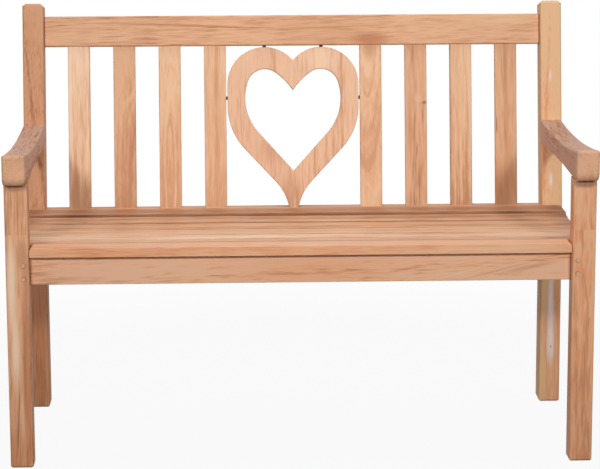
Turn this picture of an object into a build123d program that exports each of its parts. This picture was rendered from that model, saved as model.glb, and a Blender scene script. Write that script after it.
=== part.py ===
from build123d import *
import math
import os

# Teak garden bench with a heart in the back: a pegged mortise-and-tenon frame.
# Millimetres, +Z up, the sitter faces -Y, +X is to the right seen from the front.
# Pieces are drawn with Y = 0 on the front faces of the front legs, and place() moves
# them so that the origin lies on the floor under the middle of the bench.

# Overall
BENCH_WIDTH = 1200.0
BENCH_HEIGHT = 902.5
SEAT_HEIGHT = 461.0
LEG_SPACING = 480.0

# Front legs
FRONT_LEG_WIDTH = 47.0
FRONT_LEG_DEPTH = 47.0

# Rear legs: upright to the knee, then leaning back
REAR_LEG_WIDTH = 46.0
REAR_LEG_DEPTH = 60.0
KNEE_DROP = 31.0
KNEE_RADIUS = 220.0
BACK_LEAN = 9.6
POST_TOP_BEVEL = 6.0
POST_TOP_ROUND = 3.0

# Edges shared by all four legs
LEG_EDGE_ROUND = 3.0
FOOT_BEVEL = 4.0

# Arms: the outline seen from the side
ARM_CLEAR_HEIGHT = 130.5
ARM_NOSE_REACH = 32.0
ARM_NOSE_HEIGHT = 64.5
ARM_REAR_DROP = 2.5
ARM_REAR_HEIGHT = 51.0
ARM_SCOOP = 11.0
ARM_UNDER_RISE = 4.0
ARM_STRAIGHT_END = 12.0
ARM_NOSE_ROUND = 18.0
ARM_NOSE_TOP_ROUND = 6.0
ARM_EDGE_ROUND = 5.5

# Seat frame
RAIL_DROP = 81.0
FRONT_RAIL_THICKNESS = 22.0
FRONT_RAIL_SETBACK = 22.0
SIDE_RAIL_THICKNESS = 25.0
SIDE_RAIL_INSET = 7.0
CENTRE_BEARER_THICKNESS = 25.0
CENTRE_BEARER_RISE = 15.0
RAIL_EDGE_ROUND = 2.0

# Seat slats: a level front slat, dished middle slats and a level rear slat
SEAT_SLAT_THICKNESS = 20.0
SEAT_SLAT_GAP = 7.0
SEAT_SLAT_ROUND = 2.0
SEAT_SLAT_END_ROUND = 9.0
SEAT_END_CLEARANCE = 1.0
FRONT_SLAT_DEPTH = 48.0
DISHED_SLAT_COUNT = 5
DISH_DEPTH = 14.7
DISH_SETBACK = 180.0
DISH_RADIUS = 2270.0
REAR_SLAT_DROP = 7.5
REAR_SLAT_CLEARANCE = 2.0

# Back rails and slats
TOP_RAIL_DROP = 27.9
TOP_RAIL_HEIGHT = 67.0
TOP_RAIL_THICKNESS = 27.0
LOWER_RAIL_DROP = 11.0
LOWER_RAIL_HEIGHT = 67.0
LOWER_RAIL_THICKNESS = 31.0
BACK_SLAT_WIDTH = 49.0
BACK_SLAT_THICKNESS = 15.0
BACK_SLATS_PER_SIDE = 4
BACK_SLAT_ROUND = 2.5

# Heart, as drawn for one opening between the back rails
HEART_DRAWN_HEIGHT = 360.0
HEART_WIDTH = 293.0
HEART_THICKNESS = 20.0
HEART_SIDE_GAP = 3.0
HEART_TOP_GAP = 4.0
HEART_LOBE_RADIUS = 83.0
HEART_SIDE_LENGTH = 48.0
HEART_SIDE_RADIUS = 140.0
HEART_SLOPE = 43.0
HEART_FOOT_WIDTH = 22.0
HEART_FOOT_SLOPE = 12.0
HEART_EDGE_ROUND = 2.0
WINDOW_RIM_TOP = 48.5
WINDOW_RIM_SIDE = 39.7
WINDOW_LOBE_RADIUS = 40.0
WINDOW_LOBE_OFFSET = 62.5
WINDOW_SIDE_RADIUS = 115.0
WINDOW_SLOPE = 42.0
WINDOW_CLEFT_DEPTH = 67.0
WINDOW_CLEFT_START = 125.0

# Tenons
TENON_THICKNESS = 10.0
TENON_LENGTH = 20.0
TENON_SHOULDER = 6.0
SIDE_RAIL_TENON_LENGTH = 25.0
BEARER_TENON_LENGTH = 10.0
SLAT_TENON_THICKNESS = 9.0
SLAT_TENON_LENGTH = 18.0
SLAT_TENON_SHOULDER = 5.0
FOOT_TENON_SHOULDER = 3.0
ARM_TENON_WIDTH = 12.0
ARM_TENON_HEIGHT = 30.0
ARM_TENON_LENGTH = 22.0
LEG_TENON_SIDE = 24.0
LEG_TENON_LENGTH = 30.0
TENON_CLEARANCE = 0.2

# Pegs, pins, dowels and screws
PEG_DIAMETER = 8.5
PEG_FROM_SHOULDER = 11.5
PEG_SPACING = 28.0
PEG_PAST_TENON = 2.5
SIDE_PEG_SHORT = 1.5
PEG_PROUD = 0.4
PIN_DIAMETER = 8.0
PIN_DEPTH = 20.0
HEART_SIDE_PIN_DROP = 30.0
DOWEL_LENGTH = 36.0
DOWEL_EDGE_DISTANCE = 14.0
DOWEL_SPACING = 19.0
HOLE_CLEARANCE = 0.1
SCREW_DIAMETER = 4.5
SCREW_HEAD_DIAMETER = 9.0
SCREW_HEAD_HEIGHT = 3.0
SCREW_GRIP = 22.0
SCREW_BITE = 13.0
SCREW_POCKET_DIAMETER = 10.5
FRONT_SLAT_SCREWS_X = (150.0, 450.0)

# Angles of the back
LEAN = math.radians(BACK_LEAN)
LEAN_SIN = math.sin(LEAN)
LEAN_COS = math.cos(LEAN)
LEAN_TAN = math.tan(LEAN)

# Faces of the legs on the right-hand side
LEG_OUTER = BENCH_WIDTH / 2
FRONT_LEG_INNER = LEG_OUTER - FRONT_LEG_WIDTH
FRONT_LEG_MIDDLE = LEG_OUTER - FRONT_LEG_WIDTH / 2
REAR_LEG_INNER = LEG_OUTER - REAR_LEG_WIDTH

# Heights that follow the seat
KNEE_HEIGHT = SEAT_HEIGHT - KNEE_DROP
RAIL_BOTTOM = SEAT_HEIGHT - RAIL_DROP
CENTRE_BEARER_BOTTOM = RAIL_BOTTOM + CENTRE_BEARER_RISE
DISH_LOW_TOP = SEAT_HEIGHT - DISH_DEPTH
DISH_LOW_Y = LEG_SPACING - DISH_SETBACK
REAR_SLAT_TOP = SEAT_HEIGHT - REAR_SLAT_DROP
LOWER_RAIL_TOP = SEAT_HEIGHT - LOWER_RAIL_DROP
ARM_UNDERSIDE = SEAT_HEIGHT + ARM_CLEAR_HEIGHT
ARM_NOSE_TOP = ARM_UNDERSIDE + ARM_NOSE_HEIGHT
ARM_REAR_UNDERSIDE = ARM_UNDERSIDE - ARM_REAR_DROP
ARM_REAR_TOP = ARM_REAR_UNDERSIDE + ARM_REAR_HEIGHT

# Leaning frames on the posts' front faces: BACK has y up the back and z towards the front,
# POST has z up the back and y towards the rear
BACK = Plane(origin=(0, LEG_SPACING, KNEE_HEIGHT), x_dir=(1, 0, 0), z_dir=(0, -LEAN_COS, LEAN_SIN))
POST = Plane(origin=(0, LEG_SPACING, KNEE_HEIGHT), x_dir=(1, 0, 0), z_dir=(0, LEAN_SIN, LEAN_COS))
BACK_MIDDLE = REAR_LEG_DEPTH / 2
POST_RIM = POST_TOP_BEVEL + POST_TOP_ROUND * math.tan(math.radians(22.5))
POST_RIM_RISE = POST_RIM * LEAN_SIN - POST_TOP_ROUND * (1 - LEAN_COS)
POST_TOP = (BENCH_HEIGHT - KNEE_HEIGHT + POST_RIM_RISE) / LEAN_COS
TOP_RAIL_LOW = POST_TOP - TOP_RAIL_DROP - TOP_RAIL_HEIGHT
TOP_RAIL_MIDDLE = TOP_RAIL_LOW + TOP_RAIL_HEIGHT / 2

# Where the middle plane of the back meets the top of the lower rail, and the tips of the foot tenons
BACK_FOOT = (LOWER_RAIL_TOP - KNEE_HEIGHT + BACK_MIDDLE * LEAN_SIN) / LEAN_COS
FOOT_TIP = BACK_FOOT - SLAT_TENON_LENGTH
LOWER_RAIL_Y = LEG_SPACING + BACK_FOOT * LEAN_SIN + BACK_MIDDLE * LEAN_COS
LOWER_RAIL_BOTTOM = LOWER_RAIL_TOP - LOWER_RAIL_HEIGHT
LOWER_RAIL_FRONT = LOWER_RAIL_Y - LOWER_RAIL_THICKNESS / 2

# Seat frame faces
FRONT_RAIL_TOP = SEAT_HEIGHT - SEAT_SLAT_THICKNESS
FRONT_RAIL_BACK = FRONT_RAIL_SETBACK + FRONT_RAIL_THICKNESS
FRONT_RAIL_Y = FRONT_RAIL_SETBACK + FRONT_RAIL_THICKNESS / 2
SIDE_RAIL_X = LEG_OUTER - SIDE_RAIL_INSET - SIDE_RAIL_THICKNESS / 2

# Slats behind the front legs share the room up to the rear posts
SLATS_START = FRONT_LEG_DEPTH + SEAT_SLAT_GAP
SLATS_END = LEG_SPACING - REAR_SLAT_CLEARANCE
SEAT_SLAT_PITCH = (SLATS_END - SLATS_START + SEAT_SLAT_GAP) / (DISHED_SLAT_COUNT + 1)
SEAT_SLAT_WIDTH = SEAT_SLAT_PITCH - SEAT_SLAT_GAP
REAR_SLAT_Y = SLATS_END - SEAT_SLAT_WIDTH / 2
REAR_SLAT_UNDERSIDE = REAR_SLAT_TOP - SEAT_SLAT_THICKNESS

# The heart keeps its shape and grows with the opening between the back rails
HEART_GROWTH = (TOP_RAIL_LOW - BACK_FOOT) / HEART_DRAWN_HEIGHT
HEART_HALF = HEART_GROWTH * HEART_WIDTH / 2
HEART_TOP = TOP_RAIL_LOW - HEART_TOP_GAP
LOBE_RADIUS = HEART_GROWTH * HEART_LOBE_RADIUS
SIDE_LENGTH = HEART_GROWTH * HEART_SIDE_LENGTH
SIDE_RADIUS = HEART_GROWTH * HEART_SIDE_RADIUS
SIDE_PIN_DROP = HEART_GROWTH * HEART_SIDE_PIN_DROP
FOOT_WIDTH = HEART_GROWTH * HEART_FOOT_WIDTH
RIM_TOP = HEART_GROWTH * WINDOW_RIM_TOP
RIM_SIDE = HEART_GROWTH * WINDOW_RIM_SIDE
INNER_LOBE_RADIUS = HEART_GROWTH * WINDOW_LOBE_RADIUS
WINDOW_LOBE_X = HEART_GROWTH * WINDOW_LOBE_OFFSET
INNER_SIDE_RADIUS = HEART_GROWTH * WINDOW_SIDE_RADIUS
CLEFT_DEPTH = HEART_GROWTH * WINDOW_CLEFT_DEPTH

# Back slats: the inner pair leaves the heart its room, the rest share the way to the posts
INNER_SLAT_EDGE = HEART_HALF + HEART_SIDE_GAP
BACK_SLAT_PITCH = (REAR_LEG_INNER - INNER_SLAT_EDGE) / BACK_SLATS_PER_SIDE

# Heart: middles of its arcs, and the heights of its outlines on the centre line
SLOPE_SIN = math.sin(math.radians(HEART_SLOPE))
SLOPE_COS = math.cos(math.radians(HEART_SLOPE))
WINDOW_SIN = math.sin(math.radians(WINDOW_SLOPE))
WINDOW_COS = math.cos(math.radians(WINDOW_SLOPE))
LOBE_X = HEART_HALF - LOBE_RADIUS
LOBE_UP = HEART_TOP - LOBE_RADIUS
HEART_NOTCH = LOBE_UP + math.sqrt(LOBE_RADIUS**2 - LOBE_X**2)
WINDOW_LOBE_UP = HEART_TOP - RIM_TOP - INNER_LOBE_RADIUS
WINDOW_CLEFT = HEART_NOTCH - CLEFT_DEPTH
WINDOW_SIDE_X = HEART_HALF - RIM_SIDE - INNER_SIDE_RADIUS
ARCS_ACROSS = WINDOW_LOBE_X - WINDOW_SIDE_X
ARCS_RISE = math.sqrt((INNER_SIDE_RADIUS - INNER_LOBE_RADIUS) ** 2 - ARCS_ACROSS**2)
WINDOW_SIDE_UP = WINDOW_LOBE_UP - ARCS_RISE
WINDOW_BEND_X = WINDOW_SIDE_X + INNER_SIDE_RADIUS * WINDOW_COS
WINDOW_BEND_UP = WINDOW_SIDE_UP - INNER_SIDE_RADIUS * WINDOW_SIN
WINDOW_TIP = WINDOW_BEND_UP - WINDOW_BEND_X * WINDOW_COS / WINDOW_SIN

# Origin under the middle of the bench: from the arms' noses to the posts' highest back edge
REAR_REACH = LEG_SPACING + (POST_TOP - POST_TOP_BEVEL) * LEAN_SIN + REAR_LEG_DEPTH * LEAN_COS
MIDDLE_Y = (REAR_REACH - ARM_NOSE_REACH) / 2


def block(x_range, y_range, z_range):
    """A box between three pairs of limits."""
    size = [high - low for low, high in (x_range, y_range, z_range)]
    middle = [(low + high) / 2 for low, high in (x_range, y_range, z_range)]
    return Pos(*middle) * Box(*size)


def around(middle, width):
    """The pair of limits of a width about its middle."""
    return (middle - width / 2, middle + width / 2)


def grown(limits, margin):
    """A pair of limits moved apart by a margin on each side."""
    return (limits[0] - margin, limits[1] + margin)


def back_block(x_range, up_range, depth_range):
    """A box in the leaning frame; depth is counted backwards from the posts' front faces."""
    return BACK.location * block(x_range, up_range, (-depth_range[1], -depth_range[0]))


def rod(start, direction, length, diameter):
    """A round bar from a start point along a direction."""
    bar = Cylinder(diameter / 2, length, align=(Align.CENTER, Align.CENTER, Align.MIN))
    return Plane(origin=start, z_dir=direction).location * bar


def back_point(x, up, depth):
    """A point of the leaning frame in the drawing frame."""
    return (
        x,
        LEG_SPACING + up * LEAN_SIN + depth * LEAN_COS,
        KNEE_HEIGHT + up * LEAN_COS - depth * LEAN_SIN,
    )


def post_front(height):
    """Y of the leaning front face of the rear posts at a height."""
    return LEG_SPACING + (height - KNEE_HEIGHT) * LEAN_TAN


def side_solid(outline, x_range):
    """A solid from an outline seen from the side, between two X limits."""
    face = Plane.YZ.location * outline
    return Pos(x_range[0], 0, 0) * extrude(face, x_range[1] - x_range[0], dir=(1, 0, 0))


def mirrored(shape):
    """The same piece for the left-hand side."""
    return mirror(shape, about=Plane.YZ)


def both_sides(shape):
    """A right-hand piece and its left-hand twin, as a list."""
    return [shape, mirrored(shape)]


def cut_all(body, tools):
    """A body with every tool of a list cut away."""
    for tool in tools:
        body = body - tool
    return body


def bevelled_tip(x_range, y_range, end, bevel):
    """The upper end of a bar along Z with a four-sided bevel."""
    width = x_range[1] - x_range[0]
    depth = y_range[1] - y_range[0]
    middle = Pos(sum(x_range) / 2, sum(y_range) / 2, end - bevel)
    return extrude(middle * Rectangle(width, depth), bevel, taper=45)


def around_tip(x_range, y_range, end, bevel, tip):
    """What is taken off the upper end of a bar along Z to leave its tip."""
    return block(grown(x_range, bevel), grown(y_range, bevel), (end - bevel, end + bevel)) - tip


def foot_bevel(x_range, y_range):
    """What the bevel takes off the foot of a leg."""
    tip = bevelled_tip(x_range, y_range, 0, FOOT_BEVEL)
    return mirror(around_tip(x_range, y_range, 0, FOOT_BEVEL, tip), about=Plane.XY)


def post_top_bevel(x_range):
    """What the bevel and the rounding of its edges take off the top of a post."""
    y_range = (0, REAR_LEG_DEPTH)
    tip = bevelled_tip(x_range, y_range, POST_TOP, POST_TOP_BEVEL)
    rim_and_ridges = tip.edges().sort_by(Axis.Z)[4:]
    tip = fillet(rim_and_ridges, POST_TOP_ROUND)
    return around_tip(x_range, y_range, POST_TOP, POST_TOP_BEVEL, tip)


# Seat underside

def dished_slat_y(index):
    """Y of the middle of a dished slat."""
    return SLATS_START + SEAT_SLAT_WIDTH / 2 + index * SEAT_SLAT_PITCH


def dish_angle(y):
    """Slope angle of the dished seat at a place, in radians, rising to the rear."""
    return math.asin((y - DISH_LOW_Y) / DISH_RADIUS)


def dish_point(y):
    """Height of the seat's underside at the middle of a dished slat."""
    angle = dish_angle(y)
    top = DISH_LOW_TOP + DISH_RADIUS * (1 - math.cos(angle))
    return top - SEAT_SLAT_THICKNESS / math.cos(angle)


def bearer_outline(front, rear, bottom):
    """Edges of a bearer seen from the side: a flat seat for each slat, straight below."""
    middles = [dished_slat_y(index) for index in range(DISHED_SLAT_COUNT)]
    slopes = [math.tan(dish_angle(y)) for y in middles]
    lines = [(dish_point(y) - slope * y, slope) for y, slope in zip(middles, slopes)]
    step = SLATS_END - SEAT_SLAT_WIDTH - SEAT_SLAT_GAP / 2
    first_base, first_slope = lines[0]
    last_base, last_slope = lines[-1]
    points = [(front, bottom), (front, first_base + first_slope * front)]
    for (base, slope), (next_base, next_slope) in zip(lines, lines[1:]):
        y = (next_base - base) / (slope - next_slope)
        points.append((y, base + slope * y))
    points.append((step, last_base + last_slope * step))
    points.append((step, REAR_SLAT_UNDERSIDE))
    points.append((rear, REAR_SLAT_UNDERSIDE))
    points.append((rear, bottom))
    return Polyline(*points, close=True)


# Tenons on the right-hand side; a margin turns a tenon into its mortise

def rail_tenon(shoulder, y_middle, z_range, margin=0.0):
    """Tenon of a cross rail, running along X into a leg."""
    return block(
        (shoulder, shoulder + TENON_LENGTH + margin),
        grown(around(y_middle, TENON_THICKNESS), margin),
        grown((z_range[0] + TENON_SHOULDER, z_range[1] - TENON_SHOULDER), margin),
    )


def front_rail_tenon(margin=0.0):
    return rail_tenon(FRONT_LEG_INNER, FRONT_RAIL_Y, (RAIL_BOTTOM, FRONT_RAIL_TOP), margin)


def lower_rail_tenon(margin=0.0):
    return rail_tenon(REAR_LEG_INNER, LOWER_RAIL_Y, (LOWER_RAIL_BOTTOM, LOWER_RAIL_TOP), margin)


def top_rail_tenon(margin=0.0):
    """Tenon of the top rail, in the leaning frame."""
    low = TOP_RAIL_LOW + TENON_SHOULDER
    high = TOP_RAIL_LOW + TOP_RAIL_HEIGHT - TENON_SHOULDER
    return back_block(
        (REAR_LEG_INNER, REAR_LEG_INNER + TENON_LENGTH + margin),
        grown((low, high), margin),
        grown(around(BACK_MIDDLE, TENON_THICKNESS), margin),
    )


def side_rail_tenon_heights():
    """Limits of the side rails' tenons, below the lowest slat seat."""
    return (RAIL_BOTTOM + TENON_SHOULDER, DISH_LOW_TOP - SEAT_SLAT_THICKNESS - TENON_SHOULDER)


def side_rail_tenon(shoulder, direction, margin=0.0):
    """Tenon of a side rail, forwards (-1) into the front leg or backwards (+1) into the rear one."""
    tip = shoulder + direction * (SIDE_RAIL_TENON_LENGTH + margin)
    return block(
        grown(around(SIDE_RAIL_X, TENON_THICKNESS), margin),
        (min(shoulder, tip), max(shoulder, tip)),
        grown(side_rail_tenon_heights(), margin),
    )


def bearer_tenon(shoulder, direction, margin=0.0):
    """Stub tenon of the centre bearer in the front rail (-1) or the lower back rail (+1)."""
    tip = shoulder + direction * (BEARER_TENON_LENGTH + margin)
    low = CENTRE_BEARER_BOTTOM + TENON_SHOULDER
    high = DISH_LOW_TOP - SEAT_SLAT_THICKNESS - TENON_SHOULDER
    return block(
        grown(around(0, TENON_THICKNESS), margin),
        (min(shoulder, tip), max(shoulder, tip)),
        grown((low, high), margin),
    )


def arm_tenon(margin=0.0):
    """Tenon at the rear of an arm, level, in the leaning face of the rear post."""
    middle = (ARM_REAR_TOP + ARM_REAR_UNDERSIDE) / 2
    heights = around(middle, ARM_TENON_HEIGHT)
    start = post_front(heights[0]) - ARM_TENON_LENGTH
    return block(
        grown(around(FRONT_LEG_MIDDLE, ARM_TENON_WIDTH), margin),
        (start, post_front(middle) + ARM_TENON_LENGTH + margin),
        grown(heights, margin),
    )


def leg_tenon(margin=0.0):
    """Tenon at the top of a front leg, up into the arm."""
    return block(
        grown(around(FRONT_LEG_MIDDLE, LEG_TENON_SIDE), margin),
        grown(around(FRONT_LEG_DEPTH / 2, LEG_TENON_SIDE), margin),
        (ARM_UNDERSIDE, ARM_UNDERSIDE + LEG_TENON_LENGTH + margin),
    )


def foot_tenon(x_range, margin=0.0):
    """Leaning tenon at the foot of a back slat or of the heart, in the lower rail."""
    return back_block(
        grown(x_range, margin),
        (FOOT_TIP - margin, BACK_FOOT + BACK_SLAT_THICKNESS),
        grown(around(BACK_MIDDLE, SLAT_TENON_THICKNESS), margin),
    )


def head_tenon(x_range, margin=0.0):
    """Tenon at the head of a back slat, in the top rail."""
    return back_block(
        grown(x_range, margin),
        (TOP_RAIL_LOW, TOP_RAIL_LOW + SLAT_TENON_LENGTH + margin),
        grown(around(BACK_MIDDLE, SLAT_TENON_THICKNESS), margin),
    )


def slat_tenon_width(x):
    return around(x, BACK_SLAT_WIDTH - 2 * SLAT_TENON_SHOULDER)


def heart_foot_tenon_width():
    return around(0, FOOT_WIDTH - 2 * FOOT_TENON_SHOULDER)


def back_slat_x(index):
    """X of a right-hand back slat, counted from the heart."""
    return INNER_SLAT_EDGE + BACK_SLAT_WIDTH / 2 + index * BACK_SLAT_PITCH


# Pegs, pins, dowels and screws; a margin turns them into their holes

def front_rail_pegs(margin=0.0):
    """Two pegs from the right front leg's front face through the rail's tenon."""
    middle = (RAIL_BOTTOM + FRONT_RAIL_TOP) / 2
    length = FRONT_RAIL_Y + TENON_THICKNESS / 2 + PEG_PAST_TENON + PEG_PROUD + margin
    x = FRONT_LEG_INNER + PEG_FROM_SHOULDER
    return [
        rod((x, -PEG_PROUD, z), (0, 1, 0), length, PEG_DIAMETER + 2 * margin)
        for z in around(middle, PEG_SPACING)
    ]


def side_rail_pegs(margin=0.0):
    """Pegs from the right legs' outer faces through both tenons of the side rail."""
    middle = sum(side_rail_tenon_heights()) / 2
    length = LEG_OUTER + PEG_PROUD - SIDE_RAIL_X + TENON_THICKNESS / 2 - SIDE_PEG_SHORT
    places = [FRONT_LEG_DEPTH - PEG_FROM_SHOULDER, LEG_SPACING + PEG_FROM_SHOULDER]
    return [
        rod((LEG_OUTER + PEG_PROUD, y, z), (-1, 0, 0), length + margin, PEG_DIAMETER + 2 * margin)
        for y in places
        for z in around(middle, PEG_SPACING / 2)
    ]


def lower_rail_pegs(margin=0.0):
    """Pegs from the right rear leg's back face through the lower rail's tenon."""
    middle = (LOWER_RAIL_BOTTOM + LOWER_RAIL_TOP) / 2
    back = LEG_SPACING + REAR_LEG_DEPTH + PEG_PROUD
    length = back - (LOWER_RAIL_Y - TENON_THICKNESS / 2) + PEG_PAST_TENON + margin
    x = REAR_LEG_INNER + PEG_FROM_SHOULDER
    return [
        rod((x, back, z), (0, -1, 0), length, PEG_DIAMETER + 2 * margin)
        for z in around(middle, PEG_SPACING)
    ]


def top_rail_pegs(margin=0.0):
    """Pegs from the right post's leaning back face through the top rail's tenon."""
    back = REAR_LEG_DEPTH + PEG_PROUD
    length = back - (BACK_MIDDLE - TENON_THICKNESS / 2) + PEG_PAST_TENON + margin
    x = REAR_LEG_INNER + PEG_FROM_SHOULDER
    return [
        rod(back_point(x, up, back), (0, -LEAN_COS, LEAN_SIN), length, PEG_DIAMETER + 2 * margin)
        for up in around(TOP_RAIL_MIDDLE, PEG_SPACING)
    ]


def arm_pegs(margin=0.0):
    """Pegs from the outer side: one through the leg's tenon, one through the arm's."""
    rear_height = (ARM_REAR_TOP + ARM_REAR_UNDERSIDE) / 2
    front = (FRONT_LEG_DEPTH / 2, ARM_UNDERSIDE + LEG_TENON_LENGTH / 2, LEG_TENON_SIDE / 2)
    rear = (post_front(rear_height) + PEG_FROM_SHOULDER, rear_height, ARM_TENON_WIDTH / 2)
    outside = LEG_OUTER + PEG_PROUD
    return [
        rod(
            (outside, y, z),
            (-1, 0, 0),
            outside - FRONT_LEG_MIDDLE + half_tenon + PEG_PAST_TENON + margin,
            PEG_DIAMETER + 2 * margin,
        )
        for y, z, half_tenon in (front, rear)
    ]


def heart_top_pin(margin=0.0):
    """Right-hand pin between the heart's lobe and the top rail."""
    start = back_point(LOBE_X, HEART_TOP - PIN_DEPTH - margin, BACK_MIDDLE)
    length = 2 * PIN_DEPTH + HEART_TOP_GAP + 2 * margin
    return rod(start, (0, LEAN_SIN, LEAN_COS), length, PIN_DIAMETER + 2 * margin)


def heart_side_pin(margin=0.0):
    """Right-hand pin between the heart's side and the inner back slat."""
    up = LOBE_UP - SIDE_PIN_DROP
    start = back_point(HEART_HALF - PIN_DEPTH - margin, up, BACK_MIDDLE)
    length = 2 * PIN_DEPTH + HEART_SIDE_GAP + 2 * margin
    return rod(start, (1, 0, 0), length, PIN_DIAMETER + 2 * margin)


def heart_joint_dowels(margin=0.0):
    """Dowels across the heart's centre line: a pair in the cleft and a pair above the foot."""
    heights = [
        HEART_NOTCH - DOWEL_EDGE_DISTANCE,
        HEART_NOTCH - DOWEL_EDGE_DISTANCE - DOWEL_SPACING,
        WINDOW_TIP - DOWEL_EDGE_DISTANCE,
        WINDOW_TIP - DOWEL_EDGE_DISTANCE - DOWEL_SPACING,
    ]
    length = DOWEL_LENGTH + 2 * margin
    return [
        rod(back_point(-length / 2, up, BACK_MIDDLE), (1, 0, 0), length, PIN_DIAMETER + 2 * margin)
        for up in heights
    ]


def seat_screw_places():
    """Place of each screw where it enters its slat, with the underside of what it passes."""
    rows = [dished_slat_y(index) for index in range(DISHED_SLAT_COUNT)]
    seats = [(y, dish_point(y)) for y in rows]
    seats.append((REAR_SLAT_Y, REAR_SLAT_UNDERSIDE))
    places = []
    for y, z in seats:
        places.append((SIDE_RAIL_X, y, z, RAIL_BOTTOM))
        places.append((-SIDE_RAIL_X, y, z, RAIL_BOTTOM))
        places.append((0, y, z, CENTRE_BEARER_BOTTOM))
    for x in FRONT_SLAT_SCREWS_X:
        places.append((x, FRONT_RAIL_Y, FRONT_RAIL_TOP, RAIL_BOTTOM))
        places.append((-x, FRONT_RAIL_Y, FRONT_RAIL_TOP, RAIL_BOTTOM))
    return places


def seat_screw(x, y, z):
    """A screw with its head below the rail's wood and its point in the slat."""
    shank = rod((x, y, z - SCREW_GRIP), (0, 0, 1), SCREW_GRIP + SCREW_BITE, SCREW_DIAMETER)
    head = rod((x, y, z - SCREW_GRIP), (0, 0, -1), SCREW_HEAD_HEIGHT, SCREW_HEAD_DIAMETER)
    return shank + head


def seat_screw_hole(x, y, z, underside):
    """Hole for a screw with the pocket that its head goes up through."""
    length = SCREW_GRIP + SCREW_BITE + HOLE_CLEARANCE
    width = SCREW_DIAMETER + 2 * HOLE_CLEARANCE
    hole = rod((x, y, z - SCREW_GRIP), (0, 0, 1), length, width)
    pocket = rod((x, y, underside), (0, 0, 1), z - SCREW_GRIP - underside, SCREW_POCKET_DIAMETER)
    return hole + pocket


SEAT_SCREW_PLACES = seat_screw_places()
SEAT_SCREW_HOLES = [seat_screw_hole(*place) for place in SEAT_SCREW_PLACES]


# Legs

def front_leg():
    """Right front leg with its top tenon and the mortises of the two seat rails."""
    x_range = (FRONT_LEG_INNER, LEG_OUTER)
    y_range = (0, FRONT_LEG_DEPTH)
    leg = block(x_range, y_range, (0, ARM_UNDERSIDE))
    leg = fillet(leg.edges().filter_by(Axis.Z), LEG_EDGE_ROUND)
    leg = leg - foot_bevel(x_range, y_range) + leg_tenon()
    mortises = [
        front_rail_tenon(TENON_CLEARANCE),
        side_rail_tenon(FRONT_LEG_DEPTH, -1, TENON_CLEARANCE),
    ]
    holes = front_rail_pegs(HOLE_CLEARANCE) + side_rail_pegs(HOLE_CLEARANCE) + arm_pegs(HOLE_CLEARANCE)
    return cut_all(leg, mortises + holes)


def rear_leg_outline():
    """Side outline of a rear leg, its knees eased to a curve."""
    back_knee = KNEE_HEIGHT - REAR_LEG_DEPTH * math.tan(LEAN / 2)
    points = [
        (LEG_SPACING, 0),
        (LEG_SPACING + REAR_LEG_DEPTH, 0),
        (LEG_SPACING + REAR_LEG_DEPTH, back_knee),
        back_point(0, POST_TOP, REAR_LEG_DEPTH)[1:],
        back_point(0, POST_TOP, 0)[1:],
        (LEG_SPACING, KNEE_HEIGHT),
    ]
    face = make_face(Polyline(*points, close=True))
    knees = [corner for corner in face.vertices() if back_knee - 1 < corner.Y < KNEE_HEIGHT + 1]
    return fillet(knees, KNEE_RADIUS)


def rear_leg():
    """Right rear leg, rounded along its length, bevelled at the foot and the top, the top's rim rounded."""
    x_range = (REAR_LEG_INNER, LEG_OUTER)
    y_range = (LEG_SPACING, LEG_SPACING + REAR_LEG_DEPTH)
    leg = side_solid(rear_leg_outline(), x_range)
    sizes = [(edge, edge.bounding_box().size) for edge in leg.edges()]
    end_rise = REAR_LEG_DEPTH * LEAN_SIN + 1
    long_edges = [edge for edge, size in sizes if size.X < 1 and size.Z > end_rise]
    leg = fillet(long_edges, LEG_EDGE_ROUND)
    leg = leg - foot_bevel(x_range, y_range)
    leg = leg - POST.location * post_top_bevel(x_range)
    mortises = [
        lower_rail_tenon(TENON_CLEARANCE),
        top_rail_tenon(TENON_CLEARANCE),
        side_rail_tenon(LEG_SPACING, 1, TENON_CLEARANCE),
        arm_tenon(TENON_CLEARANCE),
    ]
    holes = lower_rail_pegs(HOLE_CLEARANCE) + top_rail_pegs(HOLE_CLEARANCE)
    holes = holes + side_rail_pegs(HOLE_CLEARANCE) + arm_pegs(HOLE_CLEARANCE)
    return cut_all(leg, mortises + holes)


# Arms

def arm_outline():
    """Side outline of an arm: tall rounded nose and scooped top, running straight on into the post."""
    nose = -ARM_NOSE_REACH
    rear_low = (post_front(ARM_REAR_UNDERSIDE) - ARM_STRAIGHT_END, ARM_REAR_UNDERSIDE)
    rear_high = (post_front(ARM_REAR_TOP) - ARM_STRAIGHT_END, ARM_REAR_TOP)
    leg_back = (FRONT_LEG_DEPTH, ARM_UNDERSIDE)
    under_middle = ((leg_back[0] + rear_low[0]) / 2, (leg_back[1] + rear_low[1]) / 2 + ARM_UNDER_RISE)
    top_middle = ((nose + rear_high[0]) / 2, (ARM_NOSE_TOP + ARM_REAR_TOP) / 2 - ARM_SCOOP)
    under = ThreePointArc(leg_back, under_middle, rear_low)
    top = ThreePointArc((nose, ARM_NOSE_TOP), top_middle, rear_high)
    run_on = ARM_STRAIGHT_END + ARM_TENON_LENGTH
    end_low = under @ 1 + run_on * (under % 1)
    end_high = top @ 1 + run_on * (top % 1)
    edges = [
        Line((nose, ARM_UNDERSIDE), leg_back),
        under,
        Line(under @ 1, end_low),
        Line(end_low, end_high),
        Line(end_high, top @ 1),
        top,
        Line((nose, ARM_NOSE_TOP), (nose, ARM_UNDERSIDE)),
    ]
    face = make_face(edges)
    lower_nose, upper_nose = face.vertices().group_by(Axis.X)[0].sort_by(Axis.Y)
    face = fillet(lower_nose, ARM_NOSE_ROUND)
    upper_nose = face.vertices().sort_by_distance(upper_nose.center())[0]
    return fillet(upper_nose, ARM_NOSE_TOP_ROUND)


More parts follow.
